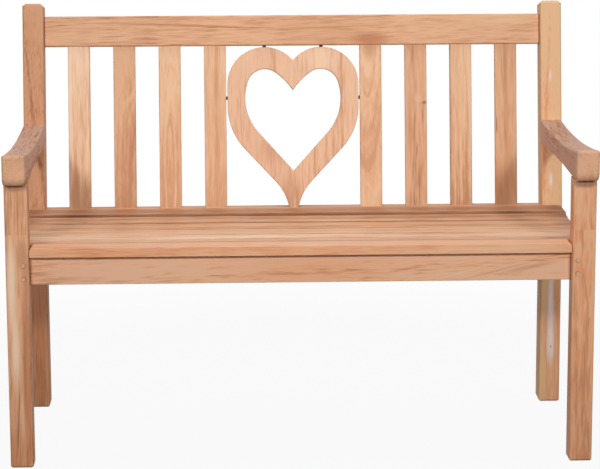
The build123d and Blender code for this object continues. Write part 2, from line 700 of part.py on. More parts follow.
def arm():
    """Right arm with its rear tenon and the mortise for the front leg."""
    x_range = (FRONT_LEG_INNER, LEG_OUTER)
    body = side_solid(arm_outline(), x_range)
    boxes = [(edge, edge.bounding_box()) for edge in body.edges()]
    rear = post_front(ARM_REAR_UNDERSIDE)
    rims = [edge for edge, box in boxes if box.size.X < 1 and box.min.Y < rear]
    body = fillet(rims, ARM_EDGE_ROUND)
    inside_post = back_block(grown(x_range, 1), (0, POST_TOP), (0, REAR_LEG_DEPTH))
    body = body - inside_post + arm_tenon()
    return cut_all(body, [leg_tenon(TENON_CLEARANCE)] + arm_pegs(HOLE_CLEARANCE))


# Seat frame

def with_both_ends(body, tenon):
    """A cross rail with a right-hand tenon and its left-hand twin."""
    return body + tenon + mirrored(tenon)


def front_seat_rail():
    """Front rail with its tenons, the bearer's mortise and the screw holes."""
    half = FRONT_LEG_INNER
    rail = block((-half, half), (FRONT_RAIL_SETBACK, FRONT_RAIL_BACK), (RAIL_BOTTOM, FRONT_RAIL_TOP))
    rail = fillet(rail.edges().filter_by(Axis.X), RAIL_EDGE_ROUND)
    rail = with_both_ends(rail, front_rail_tenon())
    holes = front_rail_pegs(HOLE_CLEARANCE)
    holes = holes + [mirrored(hole) for hole in holes] + SEAT_SCREW_HOLES
    return cut_all(rail, holes + [bearer_tenon(FRONT_RAIL_BACK, -1, TENON_CLEARANCE)])


def side_seat_rail():
    """Right side rail with a seat for each slat, tenons and screw holes."""
    x_range = around(SIDE_RAIL_X, SIDE_RAIL_THICKNESS)
    outline = make_face(bearer_outline(FRONT_LEG_DEPTH, LEG_SPACING, RAIL_BOTTOM))
    rail = side_solid(outline, x_range)
    rail = rail + side_rail_tenon(FRONT_LEG_DEPTH, -1) + side_rail_tenon(LEG_SPACING, 1)
    return cut_all(rail, side_rail_pegs(HOLE_CLEARANCE) + SEAT_SCREW_HOLES)


def centre_seat_bearer():
    """Bearer under the middle of the slats, between the front rail and the lower back rail."""
    outline = make_face(bearer_outline(FRONT_RAIL_BACK, LOWER_RAIL_FRONT, CENTRE_BEARER_BOTTOM))
    bearer = side_solid(outline, around(0, CENTRE_BEARER_THICKNESS))
    bearer = bearer + bearer_tenon(FRONT_RAIL_BACK, -1) + bearer_tenon(LOWER_RAIL_FRONT, 1)
    return cut_all(bearer, SEAT_SCREW_HOLES)


# Seat slats

def seat_board(half_length, width):
    """A slat lying on z = 0 with rounded upper edges and ends."""
    board = block((-half_length, half_length), around(0, width), (0, SEAT_SLAT_THICKNESS))
    board = fillet(board.edges().filter_by(Axis.Y).group_by(Axis.Z)[-1], SEAT_SLAT_END_ROUND)
    boxes = [(edge, edge.bounding_box()) for edge in board.edges()]
    rims = [edge for edge, box in boxes if box.size.Y < 1 and box.max.Z > 1]
    return fillet(rims, SEAT_SLAT_ROUND)


def seat_slats():
    """All seat slats from the front one to the rear one."""
    long_half = LEG_OUTER - SEAT_END_CLEARANCE
    short_half = FRONT_LEG_INNER - SEAT_END_CLEARANCE
    front = seat_board(short_half, FRONT_SLAT_DEPTH)
    slats = [Pos(0, FRONT_SLAT_DEPTH / 2, FRONT_RAIL_TOP) * front]
    board = seat_board(long_half, SEAT_SLAT_WIDTH)
    for index in range(DISHED_SLAT_COUNT):
        y = dished_slat_y(index)
        tilt = math.degrees(dish_angle(y))
        slats.append(Pos(0, y, dish_point(y)) * Rot(tilt, 0, 0) * board)
    slats.append(Pos(0, REAR_SLAT_Y, REAR_SLAT_UNDERSIDE) * board)
    return [cut_all(slat, SEAT_SCREW_HOLES) for slat in slats]


# Back

def back_top_rail():
    """Top rail with its tenons, the mortises of the back slats and the heart's pin holes."""
    half = REAR_LEG_INNER
    heights = (TOP_RAIL_LOW, TOP_RAIL_LOW + TOP_RAIL_HEIGHT)
    rail = back_block((-half, half), heights, around(BACK_MIDDLE, TOP_RAIL_THICKNESS))
    rail = fillet(rail.edges().filter_by(Axis.X), LEG_EDGE_ROUND)
    rail = with_both_ends(rail, top_rail_tenon())
    places = [back_slat_x(index) for index in range(BACK_SLATS_PER_SIDE)]
    cuts = [head_tenon(slat_tenon_width(x), TENON_CLEARANCE) for x in places]
    cuts = cuts + top_rail_pegs(HOLE_CLEARANCE) + [heart_top_pin(HOLE_CLEARANCE)]
    return cut_all(rail, cuts + [mirrored(cut) for cut in cuts])


def back_lower_rail():
    """Lower rail with its tenons and the mortises of the back slats, heart and bearer."""
    half = REAR_LEG_INNER
    y_range = around(LOWER_RAIL_Y, LOWER_RAIL_THICKNESS)
    rail = block((-half, half), y_range, (LOWER_RAIL_BOTTOM, LOWER_RAIL_TOP))
    rail = fillet(rail.edges().filter_by(Axis.X), RAIL_EDGE_ROUND)
    rail = with_both_ends(rail, lower_rail_tenon())
    places = [back_slat_x(index) for index in range(BACK_SLATS_PER_SIDE)]
    cuts = [foot_tenon(slat_tenon_width(x), TENON_CLEARANCE) for x in places]
    cuts = cuts + lower_rail_pegs(HOLE_CLEARANCE)
    cuts = cuts + [mirrored(cut) for cut in cuts]
    cuts.append(foot_tenon(heart_foot_tenon_width(), TENON_CLEARANCE))
    cuts.append(bearer_tenon(LOWER_RAIL_FRONT, 1, TENON_CLEARANCE))
    return cut_all(rail, cuts)


def below_lower_rail_top(half_length):
    """The space under the lower rail's top, which cuts slat feet level."""
    return block((-half_length, half_length), (0, REAR_REACH), (0, LOWER_RAIL_TOP))


def back_slat(index):
    """A right-hand back slat, counted from the heart, with a tenon at each end."""
    x = back_slat_x(index)
    slat = back_block(
        around(x, BACK_SLAT_WIDTH),
        (FOOT_TIP, TOP_RAIL_LOW),
        around(BACK_MIDDLE, BACK_SLAT_THICKNESS),
    )
    up = Axis((0, 0, 0), (0, LEAN_SIN, LEAN_COS))
    slat = fillet(slat.edges().filter_by(up), BACK_SLAT_ROUND)
    slat = slat - below_lower_rail_top(LEG_OUTER)
    width = slat_tenon_width(x)
    slat = slat + foot_tenon(width) + head_tenon(width)
    if index == 0:
        slat = slat - heart_side_pin(HOLE_CLEARANCE)
    return slat


# Heart

def heart_half_outline():
    """Right half of the heart with half of its window, across the leaning back."""
    side_end = LOBE_UP - SIDE_LENGTH
    bend_x = HEART_HALF - SIDE_RADIUS * (1 - SLOPE_COS)
    bend_up = side_end - SIDE_RADIUS * SLOPE_SIN
    foot_x = FOOT_WIDTH / 2
    foot_sin = math.sin(math.radians(HEART_FOOT_SLOPE))
    foot_cos = math.cos(math.radians(HEART_FOOT_SLOPE))
    turn_sin = math.sin(math.radians(HEART_SLOPE - HEART_FOOT_SLOPE))
    reach = ((bend_up - BACK_FOOT) * SLOPE_SIN - (bend_x - foot_x) * SLOPE_COS) / turn_sin
    corner = (foot_x + reach * foot_sin, BACK_FOOT + reach * foot_cos)
    flare_start = (corner[0] + reach * SLOPE_SIN, corner[1] + reach * SLOPE_COS)
    flare_end = (foot_x, BACK_FOOT)
    foot_tip = (foot_x - (BACK_FOOT - FOOT_TIP) * foot_sin / foot_cos, FOOT_TIP)
    lobe_angle = math.degrees(math.acos(-LOBE_X / LOBE_RADIUS))
    cleft_angle = math.radians(WINDOW_CLEFT_START)
    flank_start = (
        WINDOW_LOBE_X + INNER_LOBE_RADIUS * math.cos(cleft_angle),
        WINDOW_LOBE_UP + INNER_LOBE_RADIUS * math.sin(cleft_angle),
    )
    flank_heading = (-math.sin(cleft_angle), math.cos(cleft_angle))
    arcs_meet = math.degrees(math.atan2(ARCS_RISE, ARCS_ACROSS))
    side_middle = (WINDOW_SIDE_X, WINDOW_SIDE_UP)
    lobe_middle = (WINDOW_LOBE_X, WINDOW_LOBE_UP)
    outer = [
        CenterArc((LOBE_X, LOBE_UP), LOBE_RADIUS, 0, lobe_angle),
        Line((HEART_HALF, LOBE_UP), (HEART_HALF, side_end)),
        CenterArc((HEART_HALF - SIDE_RADIUS, side_end), SIDE_RADIUS, 0, -HEART_SLOPE),
        Line((bend_x, bend_up), flare_start),
        TangentArc(flare_start, flare_end, tangent=(-SLOPE_SIN, -SLOPE_COS)),
        Line(flare_end, foot_tip),
    ]
    window = [
        Line((0, WINDOW_TIP), (WINDOW_BEND_X, WINDOW_BEND_UP)),
        CenterArc(side_middle, INNER_SIDE_RADIUS, -WINDOW_SLOPE, WINDOW_SLOPE + arcs_meet),
        CenterArc(lobe_middle, INNER_LOBE_RADIUS, arcs_meet, WINDOW_CLEFT_START - arcs_meet),
        TangentArc(flank_start, (0, WINDOW_CLEFT), tangent=flank_heading),
    ]
    centre = [
        Line(foot_tip, (0, FOOT_TIP)),
        Line((0, FOOT_TIP), (0, WINDOW_TIP)),
        Line((0, WINDOW_CLEFT), (0, HEART_NOTCH)),
    ]
    return make_face(outer + window + centre)


def heart_half():
    """Right half of the heart with rounded rims, foot tenon, dowel and pin holes."""
    half = extrude(heart_half_outline(), HEART_THICKNESS, dir=(0, 0, 1))
    boxes = [(edge, edge.bounding_box()) for edge in half.edges()]
    foot = FOOT_TIP + 1
    rims = [edge for edge, box in boxes if box.size.Z < 1 and box.max.X > 1 and box.max.Y > foot]
    half = fillet(rims, HEART_EDGE_ROUND)
    half = BACK.location * Pos(0, 0, -BACK_MIDDLE - HEART_THICKNESS / 2) * half
    half = half - below_lower_rail_top(HEART_WIDTH)
    half = half + foot_tenon((0, heart_foot_tenon_width()[1]))
    holes = heart_joint_dowels(HOLE_CLEARANCE)
    holes = holes + [heart_top_pin(HOLE_CLEARANCE), heart_side_pin(HOLE_CLEARANCE)]
    return cut_all(half, holes)


# Assembly

def place(shape):
    """A shape moved from the drawing frame to the part's own frame."""
    return Pos(0, -MIDDLE_Y, 0) * shape


def group(solids):
    """Like small pieces kept as separate solids under one name, in the part's frame."""
    return Compound(children=[place(solid) for solid in solids])


def pairs(solids):
    """Right-hand solids followed by their left-hand twins."""
    return [twin for solid in solids for twin in both_sides(solid)]


def single_pieces():
    """Every piece that is one solid, by name."""
    pieces = {}
    right_and_left = {
        "front_leg": front_leg(),
        "rear_leg": rear_leg(),
        "arm": arm(),
        "side_seat_rail": side_seat_rail(),
    }
    for name, shape in right_and_left.items():
        pieces[name + "_right"] = shape
        pieces[name + "_left"] = mirrored(shape)
    half = heart_half()
    pieces["heart_right_half"] = half
    pieces["heart_left_half"] = mirrored(half)
    for index in range(BACK_SLATS_PER_SIDE):
        slat = back_slat(index)
        pieces[f"back_slat_{BACK_SLATS_PER_SIDE + 1 + index}"] = slat
        pieces[f"back_slat_{BACK_SLATS_PER_SIDE - index}"] = mirrored(slat)
    for number, slat in enumerate(seat_slats(), start=1):
        pieces[f"seat_slat_{number}"] = slat
    pieces["front_seat_rail"] = front_seat_rail()
    pieces["centre_seat_bearer"] = centre_seat_bearer()
    pieces["back_top_rail"] = back_top_rail()
    pieces["back_lower_rail"] = back_lower_rail()
    return pieces


def small_piece_groups():
    """The solids of every group of like small pieces, by name."""
    return {
        "front_rail_pegs": pairs(front_rail_pegs()),
        "side_rail_pegs": pairs(side_rail_pegs()),
        "back_rail_pegs": pairs(lower_rail_pegs() + top_rail_pegs()),
        "arm_pegs": pairs(arm_pegs()),
        "heart_pins": pairs([heart_top_pin(), heart_side_pin()]),
        "heart_joint_dowels": heart_joint_dowels(),
        "seat_screws": [seat_screw(x, y, z) for x, y, z, _ in SEAT_SCREW_PLACES],
    }


os.makedirs("parts", exist_ok=True)
for piece_name, piece in single_pieces().items():
    export_step(place(piece), f"parts/{piece_name}.step")
for group_name, solids in small_piece_groups().items():
    export_step(group(solids), f"parts/{group_name}.step")
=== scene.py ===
"""Teak garden bench with a heart in the back: its boards in raw teak, on a pale studio floor."""

import math
from collections import namedtuple

import bpy
from bpy.props import FloatProperty, FloatVectorProperty, PointerProperty
from mathutils import Euler, Matrix, Vector


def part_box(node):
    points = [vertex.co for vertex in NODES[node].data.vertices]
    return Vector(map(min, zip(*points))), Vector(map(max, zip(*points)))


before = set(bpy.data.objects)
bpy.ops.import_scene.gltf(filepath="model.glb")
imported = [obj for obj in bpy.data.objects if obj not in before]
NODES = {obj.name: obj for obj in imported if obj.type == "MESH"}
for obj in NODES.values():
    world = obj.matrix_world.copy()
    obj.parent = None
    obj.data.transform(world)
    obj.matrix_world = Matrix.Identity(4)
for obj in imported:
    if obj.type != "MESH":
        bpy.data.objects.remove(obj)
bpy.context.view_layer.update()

bl_info = {
    "name": "Teak garden bench",
    "version": (1, 0, 0),
    "blender": (4, 5, 0),
    "location": "View3D > Sidebar > Bench",
    "description": "Dresses the bench's boards in raw teak and sets it on a pale studio floor",
    "category": "Object",
}

BACK_LEAN = math.radians(9.6)
MM_PER_M = 1000

# A board: the way its grain runs, the offset in millimetres from its middle to
# the heart of the tree, how many degrees that heart tilts from the board's length, the width of a
# growth ring in millimetres, its light, middle and dark tones, the weight of rings, stripes, fibres
# and slow drift in its colour, its shift towards the dark tone and how much that grows with each metre
# down or to the left, which down the back slats, the heart and the legs is painted shade and along the
# rails a change of tone, the marks on it and the height of a splice in millimetres
Board = namedtuple(
    "Board",
    "grain pith tilt ring tones rings stripes fibres drift shift fade marks splice",
    defaults=(
        "Z", (200, 40, 0), (0.0, 0.0), 5.0, ("pale", "honey", "tan"),
        0.3, 1.0, 1.2, 1.2, 0.0, 0.0, (), None,
    ),
)

# A mark on a board: its middle and its half sizes in millimetres, the degrees it is turned in the front
# view, its tone, how strong it is and how soft its edge is
Mark = namedtuple("Mark", "middle size turn tone strength soft", defaults=(1.0,))

# Depths of boards that carry marks, half depths of marks that go right through an upright or a leaning
# board, the half length of a mark as long as the bench, the ends of the rails, and the heights of the
# pegs and the splice on the front legs, all in millimetres
FRONT_LEG_Y = -293
FRONT_RAIL_Y = -271
REAR_LEG_Y = 187
TOP_RAIL_Y = 270
THROUGH = 60
THROUGH_LEAN = 80
FULL_LENGTH = 800
RAIL_ENDS = (-553, 553)
PEG_HEIGHTS = (424, 397)
SPLICE_HEIGHT = 488


def painted_gap_shade(depth, height, strength=0.65):
    """Painted shade on the rim of a seat slat at a gap, at this depth and height."""
    return Mark((0, depth, height), (FULL_LENGTH, 3.0, 5.0), 0, "umber", strength, 0.4)


def peg_rims(across, reach, strength):
    """The darker rims of the two peg holes in a front leg, at this place across the bench."""
    return [
        Mark((across, FRONT_LEG_Y, height), (reach, 30, reach), 0, "umber", strength, 0.3)
        for height in PEG_HEIGHTS
    ]


def painted_crease_shade(depth, height, through, strength):
    """Painted shade in the creases at the two ends of a rail, where it meets its posts, at this depth and
    height.
    """
    return [
        Mark((across, depth, height), (2.5, through, 70), 0, "umber", strength, 0.4)
        for across in RAIL_ENDS
    ]


FRONT_LEGS = {
    "front_leg_left": Board(
        pith=(150, 60, 0), tones=("apricot", "cinnamon", "brown"), stripes=0.9, fibres=1.6, shift=-0.05,
        splice=SPLICE_HEIGHT,
        marks=(
            # Painted shadow of the arm's nose across the top of the leg
            Mark((-577, FRONT_LEG_Y, 584), (34, THROUGH, 9), 0, "umber", 0.4, 0.8),
            # Painted shade, darker towards the floor
            Mark((-577, FRONT_LEG_Y, 60), (60, THROUGH, 190), 0, "sienna", 0.35),
            Mark((-560, FRONT_LEG_Y, 250), (13, THROUGH, 280), 0, "sienna", 0.6),
            # Painted sheen: pale streaks down the left side of the leg where it catches the light
            Mark((-589, FRONT_LEG_Y, 385), (12, THROUGH, 115), 0, "cream", 0.95),
            Mark((-584, FRONT_LEG_Y, 255), (11, THROUGH, 120), 0, "cream", 0.85),
            Mark((-574, FRONT_LEG_Y, 110), (7, THROUGH, 70), 0, "pale", 0.5),
            Mark((-567, FRONT_LEG_Y, 445), (13, THROUGH, 48), 0, "russet", 0.7),
            Mark((-581, FRONT_LEG_Y, 105), (1.6, THROUGH, 80), 3, "umber", 0.55, 0.6),
            Mark((-566, FRONT_LEG_Y, 200), (4, THROUGH, 130), 1, "brown", 0.6),
            *peg_rims(-564, 6.2, 0.5),
        ),
    ),
    "front_leg_right": Board(
        pith=(-45, 30, 0), tilt=(-2.0, 0.0), ring=3.0, tones=("apricot", "clay", "russet"), rings=0.4,
        stripes=1.2, fibres=1.9, shift=0.04, fade=0.7, splice=SPLICE_HEIGHT,
        marks=(
            # Painted shadow of the arm's nose across the top of the leg
            Mark((577, FRONT_LEG_Y, 583), (34, THROUGH, 11), 0, "umber", 0.6, 0.8),
            # Painted shade, darker towards the floor
            Mark((577, FRONT_LEG_Y, 60), (60, THROUGH, 200), 0, "russet", 0.25),
            Mark((558, FRONT_LEG_Y, 342), (3.5, THROUGH, 60), 0, "brown", 0.6),
            *peg_rims(564, 6, 0.6),
        ),
    ),
}
REAR_LEGS = {
    "rear_leg_left": Board(
        pith=(160, 80, 0), tones=("tan", "cinnamon", "brown"), stripes=0.8, fibres=1.5, fade=0.5,
        # Painted shade below the seat, where the front leg shadows this leg
        marks=(Mark((-577, REAR_LEG_Y, 180), (60, THROUGH, 320), 0, "sienna", 0.45),),
    ),
    "rear_leg_right": Board(
        pith=(-180, 30, 0), tones=("gold", "gold", "clay"), stripes=0.7, fade=0.5,
        marks=(
            Mark((574, 239, 737), (6, THROUGH, 22), 0, "chalk", 0.6),
            Mark((575, 200, 508), (6, THROUGH, 26), 0, "chalk", 0.7),
            Mark((577, REAR_LEG_Y, 250), (9, THROUGH, 80), 0, "chalk", 0.75),
            Mark((578, REAR_LEG_Y, 190), (12, THROUGH, 95), 0, "chalk", 0.7),
            Mark((579, REAR_LEG_Y, 130), (13, THROUGH, 60), 0, "chalk", 0.7),
            Mark((579, REAR_LEG_Y, 128), (1.6, THROUGH, 3), 0, "umber", 0.8, 0.5),
        ),
    ),
}
ARMS = {
    "arm_left": Board(
        "Y", (60, 0, -50), ring=4.0, tones=("mauve", "mauve", "brown"), stripes=1.1, fibres=2.3,
        marks=(Mark((-576, -330, 624), (70, 30, 70), 0, "amber", 0.6),),
    ),
    "arm_right": Board(
        "Y", (-60, 0, -45), ring=4.0, tones=("mauve", "mauve", "brown"), stripes=1.1, fibres=2.3,
        marks=(Mark((576, -330, 624), (70, 30, 70), 0, "amber", 0.6),),
    ),
}
SEAT_FRAME = {
    "front_seat_rail": Board(
        "X", (0, 70, 10), tilt=(0.0, 2.5), ring=7.0, tones=("rose", "apricot", "russet"), fibres=1.9,
        shift=-0.15, fade=-0.15,
        marks=(
            Mark((20, FRONT_RAIL_Y, 410), (260, THROUGH, 70), 0, "clay", 0.35),
            Mark((-420, FRONT_RAIL_Y, 408), (210, THROUGH, 60), 0, "rose", 0.55),
            Mark((407, FRONT_RAIL_Y, 402), (120, THROUGH, 3), -14, "russet", 0.5),
            Mark((470, FRONT_RAIL_Y, 408), (95, THROUGH, 7), -12, "russet", 0.55),
            Mark((330, FRONT_RAIL_Y, 398), (120, THROUGH, 2), -16, "pale", 0.6),
            *painted_crease_shade(FRONT_RAIL_Y, 400, THROUGH, 0.7),
        ),
    ),
    "side_seat_rail_left": Board("Y", (150, 0, 20)),
    "side_seat_rail_right": Board("Y", (-150, 0, 20)),
    "centre_seat_bearer": Board("Y", (120, 0, 60)),
}
SEAT_SLATS = {
    "seat_slat_1": Board(
        "X", (0, 150, -40), tones=("apricot", "clay", "russet"), rings=0.2, fibres=1.7,
        marks=(
            Mark((430, -293, 450), (200, THROUGH, 22), 0, "pale", 0.6),
            # Painted sheen on the top of the front slat
            Mark((0, -270, 463), (FULL_LENGTH, 40, 5), 0, "rose", 0.8, 0.5),
            painted_gap_shade(-245, 458),
        ),
    ),
    "seat_slat_2": Board(
        "X", (0, 120, -60), tones=("rose", "honey", "russet"),
        marks=(
            # Painted shade along the front of the slat behind the front slat, and painted shadows of the
            # front legs near its two ends
            Mark((0, -231, 459), (FULL_LENGTH, 12, 7), 0, "brown", 0.7, 0.6),
            Mark((-535, -222, 457), (45, 22, 12), 0, "umber", 0.5),
            Mark((530, -215, 457), (55, 30, 12), 0, "umber", 0.45),
            painted_gap_shade(-239, 455),
        ),
    ),
    "seat_slat_3": Board(
        "X", (0, -140, -40), tones=("cream", "rose", "russet"), marks=(painted_gap_shade(-167, 449),),
    ),
    "seat_slat_4": Board(
        "X", (0, 110, -70), tones=("rose", "honey", "russet"), marks=(painted_gap_shade(-95, 444),),
    ),
    "seat_slat_5": Board(
        "X", (0, -120, -50), tones=("honey", "tan", "brown"), marks=(painted_gap_shade(-24, 442),),
    ),
    "seat_slat_6": Board(
        "X", (0, 130, -40), tones=("honey", "tan", "brown"), shift=0.2,
        marks=(Mark((-461, 61, 448), (14, 12, 30), 0, "brown", 0.7), painted_gap_shade(48, 443)),
    ),
    "seat_slat_7": Board(
        "X", (0, -100, -60), tones=("tan", "russet", "brown"), shift=0.35, marks=(painted_gap_shade(120, 450, 0.35),),
    ),
}
BACK_RAILS = {
    "back_top_rail": Board(
        "X", (0, 90, -30), tilt=(0.0, 1.5), tones=("honey", "tan", "brown"), rings=0.4, stripes=0.9,
        fibres=1.9, drift=0.6, shift=-0.05, fade=0.12,
        marks=(
            Mark((60, TOP_RAIL_Y, 838), (200, THROUGH_LEAN, 60), 0, "russet", 0.3),
            Mark((172, TOP_RAIL_Y, 820), (64, THROUGH_LEAN, 20), 2, "sienna", 0.7),
            Mark((-250, TOP_RAIL_Y, 852), (260, THROUGH_LEAN, 3.5), 2, "brown", 0.55),
            Mark((80, TOP_RAIL_Y, 846), (150, THROUGH_LEAN, 2.5), -2, "brown", 0.5),
            Mark((470, 290, 862), (110, THROUGH_LEAN, 20), 0, "pale", 0.45),
            Mark((-300, 290, 868), (330, THROUGH_LEAN, 7), 0, "russet", 0.3),
            *painted_crease_shade(TOP_RAIL_Y, 840, THROUGH_LEAN, 0.6),
        ),
    ),
    "back_lower_rail": Board("X", (0, 90, 40), tones=("honey", "tan", "russet")),
}
BACK_SLATS = {
    "back_slat_1": Board("LEAN", (220, 30, 0), tones=("cream", "pale", "tan"), drift=0.8, fade=2.2),
    "back_slat_2": Board(
        "LEAN", (40, 20, 0), tilt=(5.0, 0.0), ring=7.0, tones=("honey", "tan", "russet"), rings=0.6,
        shift=-0.1, fade=1.0,
        marks=(Mark((-366, 255, 690), (10, THROUGH_LEAN, 42), 32, "pale", 0.5),),
    ),
    "back_slat_3": Board("LEAN", (9, 7, 0), tilt=(4.0, 0.0), ring=2.4, rings=0.7, fade=0.9),
    "back_slat_4": Board("LEAN", (190, 60, 0), shift=-0.05, fade=1.5),
    "back_slat_5": Board(
        "LEAN", (0, 29, 0), tilt=(-8.0, 0.0), ring=5.6, rings=0.7, fade=0.8,
        marks=(Mark((172, 285, 800), (22, THROUGH_LEAN, 40), 0, "sienna", 0.45),),
    ),
    "back_slat_6": Board(
        "LEAN", (120, 40, 0), tones=("honey", "tan", "brown"), stripes=1.2, fade=0.3,
        marks=(
            Mark((294, 251, 678), (9, THROUGH_LEAN, 5), -20, "umber", 0.65),
            Mark((280, 253, 688), (14, THROUGH_LEAN, 14), 0, "rose", 0.7),
            Mark((290, 251, 650), (3, THROUGH_LEAN, 34), 0, "brown", 0.7),
            Mark((262, 245, 620), (8, THROUGH_LEAN, 95), 0, "russet", 0.6),
            Mark((277, 234, 573), (3, THROUGH_LEAN, 24), 2, "brown", 0.8),
            Mark((268, 224, 530), (2.5, THROUGH_LEAN, 46), 2, "brown", 0.7),
        ),
    ),
    "back_slat_7": Board("LEAN", (-200, 40, 0), tones=("pale", "honey", "russet"), stripes=1.2, fade=2.2),
    "back_slat_8": Board(
        "LEAN", (-170, 60, 0), tones=("honey", "tan", "russet"), shift=-0.2, fade=0.9,
        marks=(
            Mark((457, 243, 627), (1.6, THROUGH_LEAN, 24), 0, "umber", 0.6, 0.6),
            # Painted shadow of the right arm low on the slat
            Mark((457, 230, 500), (60, THROUGH_LEAN, 90), 0, "sienna", 0.35),
        ),
    ),
}
HEART = {
    "heart_left_half": Board(
        "LEAN", (-60, 160, 0), tones=("pale", "rose", "tan"), rings=0.2, stripes=0.6, fibres=1.4, fade=1.2,
        marks=(
            Mark((-8, 225, 480), (30, THROUGH_LEAN, 60), 0, "russet", 0.6),
            Mark((-38, 245, 585), (60, THROUGH_LEAN, 60), 0, "russet", 0.5),
        ),
    ),
    "heart_right_half": Board(
        "LEAN", (230, 20, 0), tones=("pale", "rose", "tan"), stripes=1.2, fibres=2.1, fade=1.2,
        marks=(
            Mark((9, 225, 470), (12, THROUGH_LEAN, 60), 0, "russet", 0.5),
            Mark((62, 280, 775), (62, THROUGH_LEAN, 48), 0, "cream", 0.5),
        ),
    ),
}
PEGS = ("front_rail_pegs", "side_rail_pegs", "back_rail_pegs", "arm_pegs")
PINS = ("heart_pins", "heart_joint_dowels")
SCREWS = ("seat_screws",)

# How all boards grew: the jump in metres between the two pieces of a spliced leg, the width of a patch
# and of a fibre over its length, how far the drift bends the grain and how the rings shift along it
SPLICE_JUMP = (0.31, 0.23, 0.4)
PATCH_STRETCH = 0.3
FIBRE_STRETCH = 0.06
GRAIN_WAVE = 0.016
RING_SLOPE = 0.012

# Means of the growth lines and of a noise, the gain of the broad stripes, whose noise has little contrast,
# and the places of a board's tones on its colour ramp
LINE_MEAN = 0.25
NOISE_MEAN = 0.5
STRIPE_GAIN = 2.0
LIGHT_STOP = 0.1
MIDDLE_STOP = 0.5
DARK_STOP = 0.9

# How ragged the edge of a mark is and how far it fades inwards and outwards, in shares of its half size
MARK_RAGGED = 0.9
MARK_INNER = 0.4
MARK_OUTER = 0.45

# Sockets of the Mix node when it mixes colours
MIX_FACTOR = 0
MIX_UNDER = 6
MIX_OVER = 7
MIX_RESULT = 2

# Pores of the end grain and scratches of the steel in metres, both drawn coarse enough to show, and the
# colours of a pin in shade and of the steel
PORE_WIDTH = 0.0007
SCRATCH_WIDTH = 0.0004
SHADED_PIN = "#2A1A10"
DULL_STEEL = "#A9A9AB"
BRIGHT_STEEL = "#C9C9C7"

# The side of the floor and how far from its middle it starts to turn white and is white, in metres, and
# the share of white that the camera sees on it near the bench
FLOOR_SIZE = 60.0
SHADOW_REACH = 0.9
WHITE_REACH = 2.2
SHADOW_WHITE = 0.94
WHITE = (1.0, 1.0, 1.0, 1.0)

# The lamps, what they face and the side of the wide ones, in metres, and the spread of their light
SOFTBOX_PLACES = {"softbox_left": (-1.6, -4.4, 2.1), "softbox_right": (1.6, -4.4, 2.1)}
SOFTBOX_TARGET = (0.0, 0.0, 1.1)
TOP_PLACE = (0.0, 0.1, 3.1)
TOP_TARGET = (0.0, 0.0, 0.5)
BACK_PLACE = (0.0, 4.2, 1.5)
BACK_TARGET = (0.0, 0.0, 0.6)
WIDE_LAMP = 1.4
LAMP_SPREAD = math.radians(85)

# The camera's place in metres, its turns in radians and its sensor in millimetres
CAMERA_PLACE = (-0.155492, -4.985698, 1.387434)
CAMERA_YAW = 0.03242
CAMERA_PITCH = 0.1901
CAMERA_ROLL = -0.00342
SENSOR_WIDTH = 36.0


def linear(hex_colour):
    """An sRGB hex colour as linear red, green, blue and alpha."""
    parts = [int(hex_colour[start:start + 2], 16) / 255 for start in (1, 3, 5)]
    return tuple(v / 12.92 if v <= 0.04045 else ((v + 0.055) / 1.055) ** 2.4 for v in parts) + (1.0,)


def tone(name, hex_colour, description):
    """A colour property with its default as an sRGB hex value."""
    return FloatVectorProperty(
        name=name, description=description, subtype="COLOR", size=4, min=0.0, max=1.0,
        default=linear(hex_colour),
    )


class TeakSettings(bpy.types.PropertyGroup):
    """Tones and grain sizes of the bench's teak"""

    cream: tone("Cream", "#F5D3B4", "Palest streaks")
    pale: tone("Pale", "#EBC09B", "Sapwood side of a pale board")
    gold: tone("Gold", "#E7B98C", "Golden rear leg on the right")
    honey: tone("Honey", "#E0AF88", "Plain freshly sawn teak")
    tan: tone("Tan", "#D29C76", "Deeper bands of the heartwood")
    apricot: tone("Apricot", "#E9B189", "Warm face of the front boards")
    clay: tone("Clay", "#E29C70", "Reddish bands of the front boards")
    cinnamon: tone("Cinnamon", "#CE9169", "Red-brown legs on the left")
    rose: tone("Rose", "#E5B797", "Pinkish boards of the heart, the seat and its rail")
    mauve: tone("Mauve", "#C89C85", "Arms greyed by handling")
    russet: tone("Russet", "#C28A65", "Reddish brown bands")
    brown: tone("Brown", "#A77350", "Late wood and dark streaks")
    amber: tone("Amber", "#F3B88A", "Warm end grain of the arms")
    # Sienna is also painted shade near the floor on the left front leg, below the seat on the left rear leg
    # and low on back slat 8
    sienna: tone("Sienna", "#B0683F", "Red heartwood, low on the legs and in patches of the back")
    # Umber is also painted shade: under the arms' noses, in the seat gaps, at the ends of the second seat
    # slat and in the creases where rails meet posts
    umber: tone("Umber", "#523422", "Knots, pins, dark joints and rims")
    chalk: tone("Chalk", "#F0E4E0", "White mineral streak on the right rear leg")
    fibre_width: FloatProperty(
        name="Fibre width", description="Width of a bundle of fibres and pores, drawn coarse enough to show",
        default=0.0017, min=0.0004, unit="LENGTH",
    )
    patch_width: FloatProperty(
        name="Patch width", description="Width of the patches in which the tone drifts slowly",
        default=0.0455, min=0.005, unit="LENGTH",
    )
    band_width: FloatProperty(
        name="Band width", description="Width of the broadest growth bands",
        default=0.011, min=0.002, unit="LENGTH",
    )


